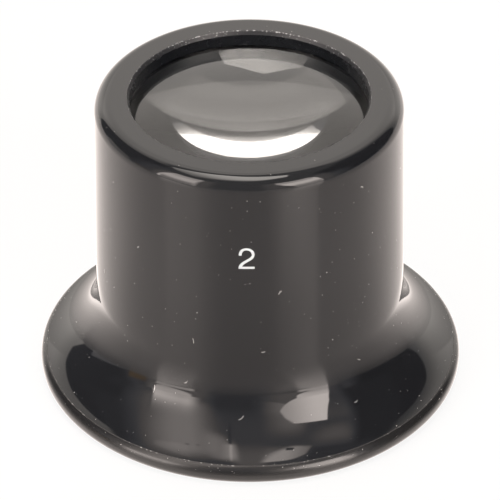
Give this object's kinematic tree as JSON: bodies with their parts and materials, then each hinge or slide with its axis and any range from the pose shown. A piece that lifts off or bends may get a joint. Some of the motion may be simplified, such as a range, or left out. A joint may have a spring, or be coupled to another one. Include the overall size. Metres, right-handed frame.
{
  "type": "eye loupe",
  "caption": "Watchmaker's eye loupe: a black barrel that flares into an eyecup, with a biconvex lens held by a threaded ring.",
  "frame": {"origin": "centre of the eyecup's foot, on the plane that it rests on", "axes": "+Z along the optical axis towards the objective end, -Y towards the side with the numeral"},
  "size_m": [0.0396, 0.0396, 0.0294],
  "materials": {
    "body_plastic": "polished black moulded plastic",
    "lens_glass": "polished faces with a ground edge",
    "ring_plastic": "satin black moulded plastic"
  },
  "bodies": {
    "body": {"loupe_body": "body_plastic"},
    "lens": {"lens": "lens_glass"},
    "retaining_ring": {"retaining_ring": "ring_plastic"}
  },
  "joints": [
    {"name": "lens_drop", "type": "slide", "parent": "body", "child": "lens", "axis": [0, 0, -1], "range_m": [0, 0.003]},
    {"name": "ring_unscrew", "type": "hinge", "parent": "lens", "child": "retaining_ring", "pos_m": [0, 0, 0.0247], "axis": [0, 0, -1], "range_deg": [0, 1440]}
  ],
  "couplings": [
    {"joint": "ring_unscrew", "follows": "lens_drop", "rad_per_m": 8377.5}
  ]
}
